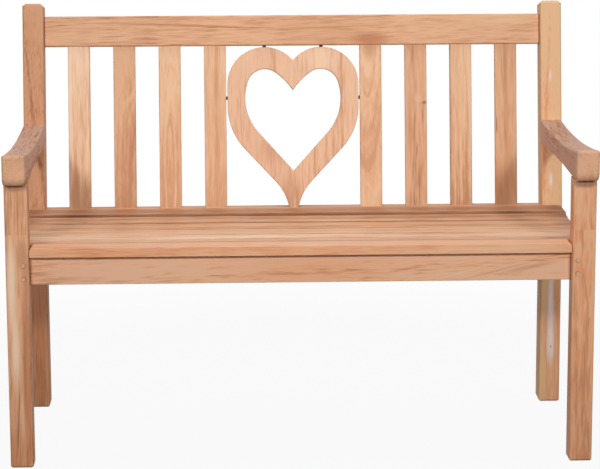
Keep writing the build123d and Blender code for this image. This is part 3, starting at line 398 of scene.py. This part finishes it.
class StageSettings(bpy.types.PropertyGroup):
    """Floor, lamps and lens of the studio"""

    floor: tone("Floor", "#9A9A9A", "Studio floor as it throws light back, grey so that it adds no glow")
    lens: FloatProperty(
        name="Lens", description="Focal length of the camera", default=141.5335, min=10.0, unit="CAMERA",
    )
    softbox_size: FloatProperty(
        name="Softbox size", description="Side of each softbox in front of the bench",
        default=0.4, min=0.2, unit="LENGTH",
    )
    softbox_power: FloatProperty(
        name="Softbox power", description="Power of each softbox", default=18.5, min=0.0, unit="POWER",
    )
    top_power: FloatProperty(
        name="Top light power", description="Power of the light above the bench",
        default=8.5, min=0.0, unit="POWER",
    )
    back_power: FloatProperty(
        name="Back light power", description="Power of the weak light behind the bench",
        default=6.0, min=0.0, unit="POWER",
    )
    ambient: FloatProperty(
        name="Ambient", description="Even light from the white room", default=0.16, min=0.0, max=1.0,
    )


def add(tree, kind, settings, links):
    """Adds a shader node with its settings, by socket or attribute, and its links from output sockets."""
    node = tree.nodes.new(kind)
    for key, value in settings.items():
        if key == "stops":
            ramp = node.color_ramp.elements
            while len(ramp) < len(value):
                ramp.new(0.5)
            for element, (position, colour) in zip(ramp, value):
                element.position = position
                element.color = colour
        elif isinstance(key, int) or key in node.inputs:
            node.inputs[key].default_value = value
        else:
            setattr(node, key, value)
    for key, output in links.items():
        tree.links.new(output, node.inputs[key])
    return node


def new_material(name):
    """An empty material and its node tree."""
    material = bpy.data.materials.new(name)
    material.use_nodes = True
    tree = material.node_tree
    tree.nodes.clear()
    return material, tree


def noise_scale(width):
    """Scale of a noise whose light and dark patches are each about this many metres wide."""
    return 0.5 / width


def board_mapping(node_name, board):
    """Rotation and shift that lay a board's grain along Z with the heart of its tree on the axis."""
    low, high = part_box(node_name)
    turns = {
        "X": Euler((0.0, -math.pi / 2, 0.0)),
        "Y": Euler((math.pi / 2, 0.0, 0.0)),
        "Z": Euler((0.0, 0.0, 0.0)),
        "LEAN": Euler((BACK_LEAN, 0.0, 0.0)),
    }
    tilt = Euler([math.radians(angle) for angle in (*board.tilt, 0.0)])
    turn = tilt.to_matrix() @ turns[board.grain].to_matrix()
    heart = (low + high) / 2 + Vector(board.pith) / MM_PER_M
    return turn.to_euler(), -(turn @ heart)


def board_grain(tree, place, node_name, board):
    """Coordinates with a board's grain along Z, which jump to another part of the tree below a splice."""
    turn, shift = board_mapping(node_name, board)
    along = add(tree, "ShaderNodeMapping", {"Rotation": turn, "Location": shift}, {"Vector": place})
    if not board.splice:
        return along.outputs["Vector"]
    height = add(tree, "ShaderNodeSeparateXYZ", {}, {"Vector": place})
    below = add(
        tree, "ShaderNodeMath", {"operation": "LESS_THAN", 1: board.splice / MM_PER_M},
        {0: height.outputs["Z"]},
    )
    jumped = add(
        tree, "ShaderNodeVectorMath", {"operation": "MULTIPLY_ADD", 1: SPLICE_JUMP},
        {0: below.outputs["Value"], 2: along.outputs["Vector"]},
    )
    return jumped.outputs["Vector"]


def marked(tree, place, mark, mark_colour, stripe, colour):
    """A board's colour with a mark laid over it, whose edge the stripes make ragged."""
    spot = add(
        tree, "ShaderNodeMapping",
        {"vector_type": "TEXTURE", "Location": Vector(mark.middle) / MM_PER_M,
         "Rotation": (0.0, math.radians(mark.turn), 0.0), "Scale": Vector(mark.size) / MM_PER_M},
        {"Vector": place},
    )
    reach = add(tree, "ShaderNodeVectorMath", {"operation": "LENGTH"}, {0: spot.outputs["Vector"]})
    ragged = add(
        tree, "ShaderNodeMath", {"operation": "MULTIPLY_ADD", 1: MARK_RAGGED * mark.soft},
        {0: stripe, 2: reach.outputs["Value"]},
    )
    mask = add(
        tree, "ShaderNodeMapRange",
        {"interpolation_type": "SMOOTHSTEP", "From Min": 1.0 - MARK_INNER * mark.soft,
         "From Max": 1.0 + MARK_OUTER * mark.soft, "To Min": mark.strength, "To Max": 0.0},
        {"Value": ragged.outputs["Value"]},
    )
    mixed = add(
        tree, "ShaderNodeMix", {"data_type": "RGBA", MIX_OVER: mark_colour},
        {MIX_FACTOR: mask.outputs["Result"], MIX_UNDER: colour},
    )
    return mixed.outputs[MIX_RESULT]


# Raw teak, sawn and sanded, not oiled: matt and warm, with thin growth lines, broad streaks and fine fibres
def teak(node_name, board, settings):
    """The teak of one board."""
    material, tree = new_material("raw_teak_" + node_name)
    tones = [tuple(getattr(settings, name)) for name in board.tones]
    place = add(tree, "ShaderNodeTexCoord", {}, {}).outputs["Object"]
    grain = board_grain(tree, place, node_name, board)
    slow = add(tree, "ShaderNodeMapping", {"Scale": (1.0, 1.0, PATCH_STRETCH)}, {"Vector": grain})
    drift = add(
        tree, "ShaderNodeTexNoise",
        {"Scale": noise_scale(settings.patch_width), "Detail": 3.0, "Roughness": 0.55},
        {"Vector": slow.outputs["Vector"]},
    )
    wavy = add(
        tree, "ShaderNodeVectorMath", {"operation": "MULTIPLY_ADD", 1: (GRAIN_WAVE, GRAIN_WAVE, 0.0)},
        {0: drift.outputs["Color"], 2: grain},
    )
    flat = add(tree, "ShaderNodeMapping", {"Scale": (1.0, 1.0, 0.0)}, {"Vector": wavy.outputs["Vector"]})
    radius = add(tree, "ShaderNodeVectorMath", {"operation": "LENGTH"}, {0: flat.outputs["Vector"]})
    length = add(tree, "ShaderNodeSeparateXYZ", {}, {"Vector": wavy.outputs["Vector"]})
    slope = add(tree, "ShaderNodeMath", {"operation": "MULTIPLY", 1: RING_SLOPE}, {0: length.outputs["Z"]})
    growth = add(
        tree, "ShaderNodeCombineXYZ", {}, {"X": radius.outputs["Value"], "Y": slope.outputs["Value"]},
    )
    stripe = add(
        tree, "ShaderNodeTexNoise",
        {"Scale": noise_scale(settings.band_width), "Detail": 4.0, "Roughness": 0.62},
        {"Vector": growth.outputs["Vector"]},
    )
    ring = add(
        tree, "ShaderNodeTexNoise",
        {"Scale": noise_scale(board.ring / MM_PER_M), "Detail": 2.0, "Roughness": 0.5},
        {"Vector": growth.outputs["Vector"]},
    )
    line = add(
        tree, "ShaderNodeMapRange", {"interpolation_type": "SMOOTHSTEP", "From Min": 0.52, "From Max": 0.68},
        {"Value": ring.outputs["Fac"]},
    )
    fibre = add(
        tree, "ShaderNodeMapping", {"Scale": (1.0, 1.0, FIBRE_STRETCH)}, {"Vector": wavy.outputs["Vector"]},
    )
    fine = add(
        tree, "ShaderNodeTexNoise",
        {"Scale": noise_scale(settings.fibre_width), "Detail": 2.0, "Roughness": 0.55},
        {"Vector": fibre.outputs["Vector"]},
    )
    stripes = STRIPE_GAIN * board.stripes
    layers = (
        # Down the back slats, the heart and the legs this fade is painted shade; along the rails it is a
        # change of tone
        (length.outputs["Z"], -board.fade),
        (drift.outputs["Fac"], board.drift),
        (line.outputs["Result"], board.rings),
        (stripe.outputs["Fac"], stripes),
        (fine.outputs["Fac"], board.fibres),
    )
    # The layers' means come off first, so that a weight sets the contrast and leaves the tone
    means = LINE_MEAN * board.rings + NOISE_MEAN * (stripes + board.fibres + board.drift)
    start = MIDDLE_STOP + board.shift - means
    total = None
    for layer, weight in layers:
        links = {0: layer} if total is None else {0: layer, 2: total}
        summed = add(tree, "ShaderNodeMath", {"operation": "MULTIPLY_ADD", 1: weight, 2: start}, links)
        total = summed.outputs["Value"]
    stops = tuple(zip((LIGHT_STOP, MIDDLE_STOP, DARK_STOP), tones))
    colour = add(tree, "ShaderNodeValToRGB", {"stops": stops}, {"Fac": total}).outputs["Color"]
    for mark in board.marks:
        mark_colour = tuple(getattr(settings, mark.tone))
        colour = marked(tree, place, mark, mark_colour, stripe.outputs["Fac"], colour)
    rough = add(
        tree, "ShaderNodeMapRange", {"From Min": 0.2, "From Max": 0.8, "To Min": 0.5, "To Max": 0.7},
        {"Value": fine.outputs["Fac"]},
    )
    bump = add(
        tree, "ShaderNodeBump", {"Strength": 0.25, "Distance": 0.0006}, {"Height": fine.outputs["Fac"]},
    )
    shader = add(
        tree, "ShaderNodeBsdfPrincipled", {"IOR": 1.48, "Specular IOR Level": 0.35},
        {"Base Color": colour, "Roughness": rough.outputs["Result"], "Normal": bump.outputs["Normal"]},
    )
    add(tree, "ShaderNodeOutputMaterial", {}, {"Surface": shader.outputs["BSDF"]})
    return material


# Teak dowel, turned and cut off flush: end grain with its own pores, pale on a peg, dark on a pin
def teak_dowel(name, light, dark):
    """The teak of pegs, pins and dowels."""
    material, tree = new_material(name)
    place = add(tree, "ShaderNodeTexCoord", {}, {})
    pores = add(
        tree, "ShaderNodeTexNoise", {"Scale": noise_scale(PORE_WIDTH), "Detail": 2.0},
        {"Vector": place.outputs["Object"]},
    )
    colour = add(
        tree, "ShaderNodeValToRGB", {"stops": ((0.3, tuple(light)), (0.75, tuple(dark)))},
        {"Fac": pores.outputs["Fac"]},
    )
    rough = add(
        tree, "ShaderNodeMapRange", {"From Min": 0.2, "From Max": 0.8, "To Min": 0.6, "To Max": 0.8},
        {"Value": pores.outputs["Fac"]},
    )
    bump = add(
        tree, "ShaderNodeBump", {"Strength": 0.3, "Distance": 0.0004}, {"Height": pores.outputs["Fac"]},
    )
    shader = add(
        tree, "ShaderNodeBsdfPrincipled", {"IOR": 1.48, "Specular IOR Level": 0.3},
        {"Base Color": colour.outputs["Color"], "Roughness": rough.outputs["Result"],
         "Normal": bump.outputs["Normal"]},
    )
    add(tree, "ShaderNodeOutputMaterial", {}, {"Surface": shader.outputs["BSDF"]})
    return material


# Stainless steel screw, rolled and tumbled: a dull bright metal with fine scratches
def stainless_steel():
    """The steel of the seat screws."""
    material, tree = new_material("stainless_steel_tumbled")
    place = add(tree, "ShaderNodeTexCoord", {}, {})
    scratches = add(
        tree, "ShaderNodeTexNoise", {"Scale": noise_scale(SCRATCH_WIDTH), "Detail": 3.0},
        {"Vector": place.outputs["Object"]},
    )
    colour = add(
        tree, "ShaderNodeValToRGB", {"stops": ((0.3, linear(DULL_STEEL)), (0.7, linear(BRIGHT_STEEL)))},
        {"Fac": scratches.outputs["Fac"]},
    )
    rough = add(
        tree, "ShaderNodeMapRange", {"From Min": 0.2, "From Max": 0.8, "To Min": 0.28, "To Max": 0.45},
        {"Value": scratches.outputs["Fac"]},
    )
    shader = add(
        tree, "ShaderNodeBsdfPrincipled", {"Metallic": 1.0},
        {"Base Color": colour.outputs["Color"], "Roughness": rough.outputs["Result"]},
    )
    add(tree, "ShaderNodeOutputMaterial", {}, {"Surface": shader.outputs["BSDF"]})
    return material


def dress(node_name, material):
    """Gives a CAD node its material."""
    piece = NODES[node_name]
    if not piece.material_slots:
        piece.data.materials.append(material)
    for slot in piece.material_slots:
        slot.material = material


def dress_boards(boards, settings):
    """Gives every board of a group its own teak."""
    for node_name, board in boards.items():
        dress(node_name, teak(node_name, board, settings))


class BENCH_OT_front_legs(bpy.types.Operator):
    """Dresses the two front legs in teak"""

    bl_idname = "bench.front_legs"
    bl_label = "Front legs"

    def execute(self, context):
        dress_boards(FRONT_LEGS, context.scene.bench_teak)
        return {"FINISHED"}


class BENCH_OT_rear_legs(bpy.types.Operator):
    """Dresses the two rear legs in teak"""

    bl_idname = "bench.rear_legs"
    bl_label = "Rear legs"

    def execute(self, context):
        dress_boards(REAR_LEGS, context.scene.bench_teak)
        return {"FINISHED"}


class BENCH_OT_arms(bpy.types.Operator):
    """Dresses the two arm rests in teak"""

    bl_idname = "bench.arms"
    bl_label = "Arms"

    def execute(self, context):
        dress_boards(ARMS, context.scene.bench_teak)
        return {"FINISHED"}


class BENCH_OT_seat_frame(bpy.types.Operator):
    """Dresses the seat rails and the centre bearer in teak"""

    bl_idname = "bench.seat_frame"
    bl_label = "Seat frame"

    def execute(self, context):
        dress_boards(SEAT_FRAME, context.scene.bench_teak)
        return {"FINISHED"}


class BENCH_OT_seat_slats(bpy.types.Operator):
    """Dresses the seven seat slats in teak"""

    bl_idname = "bench.seat_slats"
    bl_label = "Seat slats"

    def execute(self, context):
        dress_boards(SEAT_SLATS, context.scene.bench_teak)
        return {"FINISHED"}


class BENCH_OT_back_rails(bpy.types.Operator):
    """Dresses the top and lower rails of the back in teak"""

    bl_idname = "bench.back_rails"
    bl_label = "Back rails"

    def execute(self, context):
        dress_boards(BACK_RAILS, context.scene.bench_teak)
        return {"FINISHED"}


class BENCH_OT_back_slats(bpy.types.Operator):
    """Dresses the eight back slats in teak"""

    bl_idname = "bench.back_slats"
    bl_label = "Back slats"

    def execute(self, context):
        dress_boards(BACK_SLATS, context.scene.bench_teak)
        return {"FINISHED"}


class BENCH_OT_heart(bpy.types.Operator):
    """Dresses the two halves of the heart in teak"""

    bl_idname = "bench.heart"
    bl_label = "Heart"

    def execute(self, context):
        dress_boards(HEART, context.scene.bench_teak)
        return {"FINISHED"}


class BENCH_OT_pegs(bpy.types.Operator):
    """Dresses the pegs, pins and dowels in end-grain teak"""

    bl_idname = "bench.pegs"
    bl_label = "Pegs and pins"

    def execute(self, context):
        teak_tones = context.scene.bench_teak
        pale = teak_dowel("teak_peg_end_grain", teak_tones.rose, teak_tones.tan)
        dark = teak_dowel("teak_pin_in_shade", teak_tones.umber, linear(SHADED_PIN))
        for node_name in PEGS:
            dress(node_name, pale)
        for node_name in PINS:
            dress(node_name, dark)
        return {"FINISHED"}


class BENCH_OT_screws(bpy.types.Operator):
    """Dresses the seat screws in stainless steel"""

    bl_idname = "bench.screws"
    bl_label = "Seat screws"

    def execute(self, context):
        material = stainless_steel()
        for node_name in SCREWS:
            dress(node_name, material)
        return {"FINISHED"}


def white_rays(tree):
    """Output that is 1 for the rays that are shown the white room: straight, off metal or through glass."""
    ray = add(tree, "ShaderNodeLightPath", {}, {})
    seen = add(
        tree, "ShaderNodeMath", {"operation": "MAXIMUM"},
        {0: ray.outputs["Is Camera Ray"], 1: ray.outputs["Is Glossy Ray"]},
    )
    shown = add(
        tree, "ShaderNodeMath", {"operation": "MAXIMUM"},
        {0: seen.outputs["Value"], 1: ray.outputs["Is Transmission Ray"]},
    )
    return shown.outputs["Value"]


# Matt white floor: pale near the bench, where it keeps the shadow, and white further off
def studio_floor(settings):
    """The material of the floor."""
    material, tree = new_material("matt_white_floor")
    place = add(tree, "ShaderNodeTexCoord", {}, {})
    shown = white_rays(tree)
    reach = add(tree, "ShaderNodeVectorMath", {"operation": "LENGTH"}, {0: place.outputs["Object"]})
    far = add(
        tree, "ShaderNodeMapRange",
        {"interpolation_type": "SMOOTHSTEP", "From Min": SHADOW_REACH, "From Max": WHITE_REACH,
         "To Min": SHADOW_WHITE, "To Max": 1.0},
        {"Value": reach.outputs["Value"]},
    )
    share = add(tree, "ShaderNodeMath", {"operation": "MULTIPLY"}, {0: shown, 1: far.outputs["Result"]})
    matt = add(tree, "ShaderNodeBsdfDiffuse", {"Color": tuple(settings.floor)}, {})
    glow = add(tree, "ShaderNodeEmission", {"Color": WHITE, "Strength": 1.0}, {})
    mixed = add(
        tree, "ShaderNodeMixShader", {},
        {0: share.outputs["Value"], 1: matt.outputs["BSDF"], 2: glow.outputs["Emission"]},
    )
    add(tree, "ShaderNodeOutputMaterial", {}, {"Surface": mixed.outputs["Shader"]})
    return material


def white_room(context, settings):
    """World that gives even light and shows as white to the camera."""
    world = bpy.data.worlds.new("white_room")
    context.scene.world = world
    world.use_nodes = True
    tree = world.node_tree
    tree.nodes.clear()
    strength = add(
        tree, "ShaderNodeMapRange", {"To Min": settings.ambient, "To Max": 1.0}, {"Value": white_rays(tree)},
    )
    room = add(tree, "ShaderNodeBackground", {"Color": WHITE}, {"Strength": strength.outputs["Result"]})
    add(tree, "ShaderNodeOutputWorld", {}, {"Surface": room.outputs["Background"]})


def area_light(context, name, place, target, size, power):
    """A square softbox that faces a target."""
    lamp = bpy.data.lights.new(name, "AREA")
    lamp.shape = "SQUARE"
    lamp.size = size
    lamp.energy = power
    lamp.spread = LAMP_SPREAD
    light = bpy.data.objects.new(name, lamp)
    aim = (Vector(target) - Vector(place)).to_track_quat("-Z", "Y")
    light.matrix_world = Matrix.Translation(place) @ aim.to_matrix().to_4x4()
    context.scene.collection.objects.link(light)
    return light


def front_camera(context, settings):
    """Camera in front of the bench, a little to its left, which looks slightly down."""
    lens = bpy.data.cameras.new("camera")
    lens.sensor_fit = "HORIZONTAL"
    lens.sensor_width = SENSOR_WIDTH
    lens.lens = settings.lens
    camera = bpy.data.objects.new("camera", lens)
    level = Euler((math.pi / 2 - CAMERA_PITCH, 0.0, 0.0)).to_matrix()
    heading = Euler((0.0, 0.0, -CAMERA_YAW)).to_matrix()
    leaning = Euler((0.0, 0.0, CAMERA_ROLL)).to_matrix()
    aim = heading @ level @ leaning
    camera.matrix_world = Matrix.Translation(CAMERA_PLACE) @ aim.to_4x4()
    context.scene.collection.objects.link(camera)
    context.scene.camera = camera


class BENCH_OT_stage(bpy.types.Operator):
    """Sets the pale floor, the soft light and the camera"""

    bl_idname = "bench.stage"
    bl_label = "Stage"

    def execute(self, context):
        settings = context.scene.bench_stage
        bpy.ops.mesh.primitive_plane_add(size=FLOOR_SIZE, location=(0.0, 0.0, 0.0))
        floor = context.active_object
        floor.name = "studio_floor"
        floor.data.materials.append(studio_floor(settings))
        white_room(context, settings)
        for name, place in SOFTBOX_PLACES.items():
            area_light(context, name, place, SOFTBOX_TARGET, settings.softbox_size, settings.softbox_power)
        area_light(context, "top_light", TOP_PLACE, TOP_TARGET, WIDE_LAMP, settings.top_power)
        back = area_light(context, "back_light", BACK_PLACE, BACK_TARGET, WIDE_LAMP, settings.back_power)
        back.visible_glossy = False
        front_camera(context, settings)
        context.scene.view_settings.view_transform = "Standard"
        return {"FINISHED"}


class BENCH_PT_panel(bpy.types.Panel):
    """Lists the steps that dress the bench"""

    bl_label = "Teak garden bench"
    bl_idname = "BENCH_PT_panel"
    bl_space_type = "VIEW_3D"
    bl_region_type = "UI"
    bl_category = "Bench"

    def draw(self, context):
        for operator in OPERATORS:
            self.layout.operator(operator.bl_idname)
        for group in (context.scene.bench_teak, context.scene.bench_stage):
            for name in group.__annotations__:
                self.layout.prop(group, name)


OPERATORS = (
    BENCH_OT_front_legs,
    BENCH_OT_rear_legs,
    BENCH_OT_arms,
    BENCH_OT_seat_frame,
    BENCH_OT_seat_slats,
    BENCH_OT_back_rails,
    BENCH_OT_back_slats,
    BENCH_OT_heart,
    BENCH_OT_pegs,
    BENCH_OT_screws,
    BENCH_OT_stage,
)
CLASSES = (TeakSettings, StageSettings, *OPERATORS, BENCH_PT_panel)


def register():
    """Registers the classes and the scene's settings."""
    for cls in CLASSES:
        bpy.utils.register_class(cls)
    bpy.types.Scene.bench_teak = PointerProperty(type=TeakSettings)
    bpy.types.Scene.bench_stage = PointerProperty(type=StageSettings)


def unregister():
    """Removes the scene's settings and the classes."""
    del bpy.types.Scene.bench_stage
    del bpy.types.Scene.bench_teak
    for cls in reversed(CLASSES):
        bpy.utils.unregister_class(cls)


def main():
    """Registers the add-on, dresses every piece and sets the stage."""
    register()
    bpy.ops.bench.front_legs()
    bpy.ops.bench.rear_legs()
    bpy.ops.bench.arms()
    bpy.ops.bench.seat_frame()
    bpy.ops.bench.seat_slats()
    bpy.ops.bench.back_rails()
    bpy.ops.bench.back_slats()
    bpy.ops.bench.heart()
    bpy.ops.bench.pegs()
    bpy.ops.bench.screws()
    bpy.ops.bench.stage()


if __name__ == "__main__":
    main()
